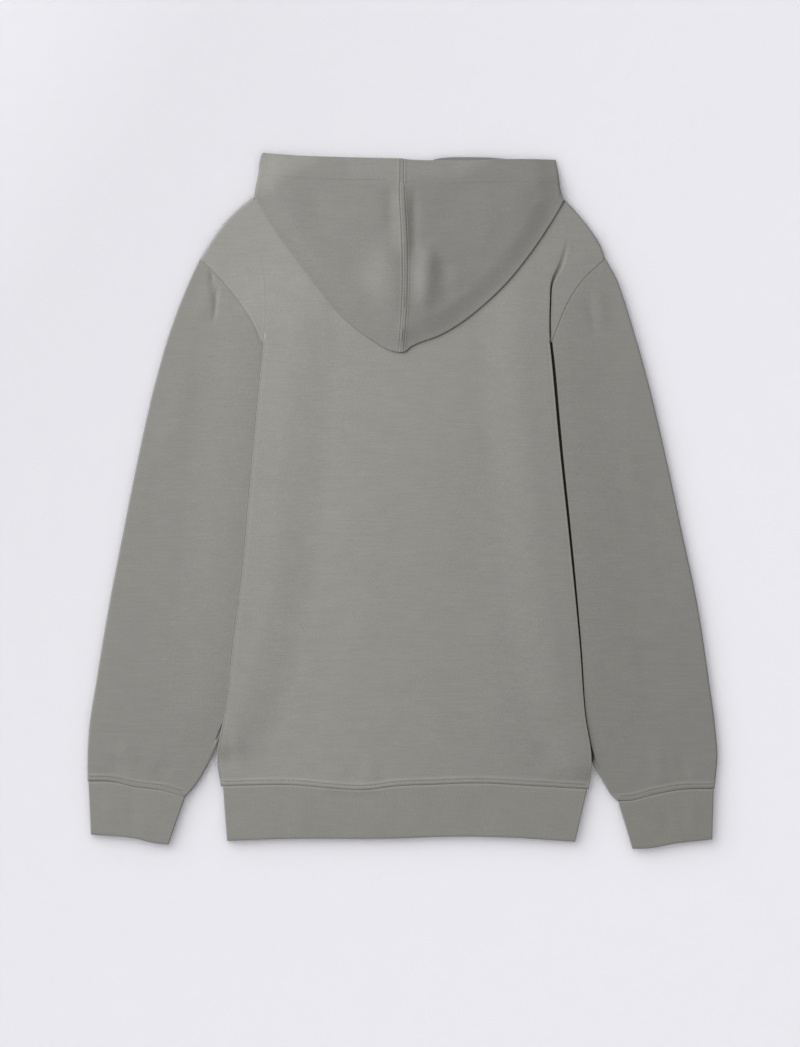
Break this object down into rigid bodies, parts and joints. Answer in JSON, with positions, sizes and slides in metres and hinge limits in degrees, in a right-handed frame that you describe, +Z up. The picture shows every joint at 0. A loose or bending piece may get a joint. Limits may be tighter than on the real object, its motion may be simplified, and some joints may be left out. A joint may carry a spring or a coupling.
{
  "type": "pullover hoodie",
  "caption": "Plain pullover hoodie with set-in sleeves, ribbed cuffs and hem, laid flat with its back up and the hood spread on the back.",
  "frame": {"origin": "middle of the garment's outline, on the surface it lies on", "axes": "+Z up out of the garment's back, +Y along it from the hem towards the hood, +X towards the wearer's right sleeve"},
  "size_m": [0.6906, 0.7648, 0.0129],
  "materials": {
    "jersey": "matte grey knit",
    "rib": "matte grey fine rib"
  },
  "bodies": {
    "root": {"back_panel": "jersey", "front_panel": "jersey", "sleeve_left": "jersey", "sleeve_right": "jersey", "cuff_left": "rib", "cuff_right": "rib", "hem_band": "rib", "hood_left": "jersey", "hood_right": "jersey"}
  },
  "joints": []
}
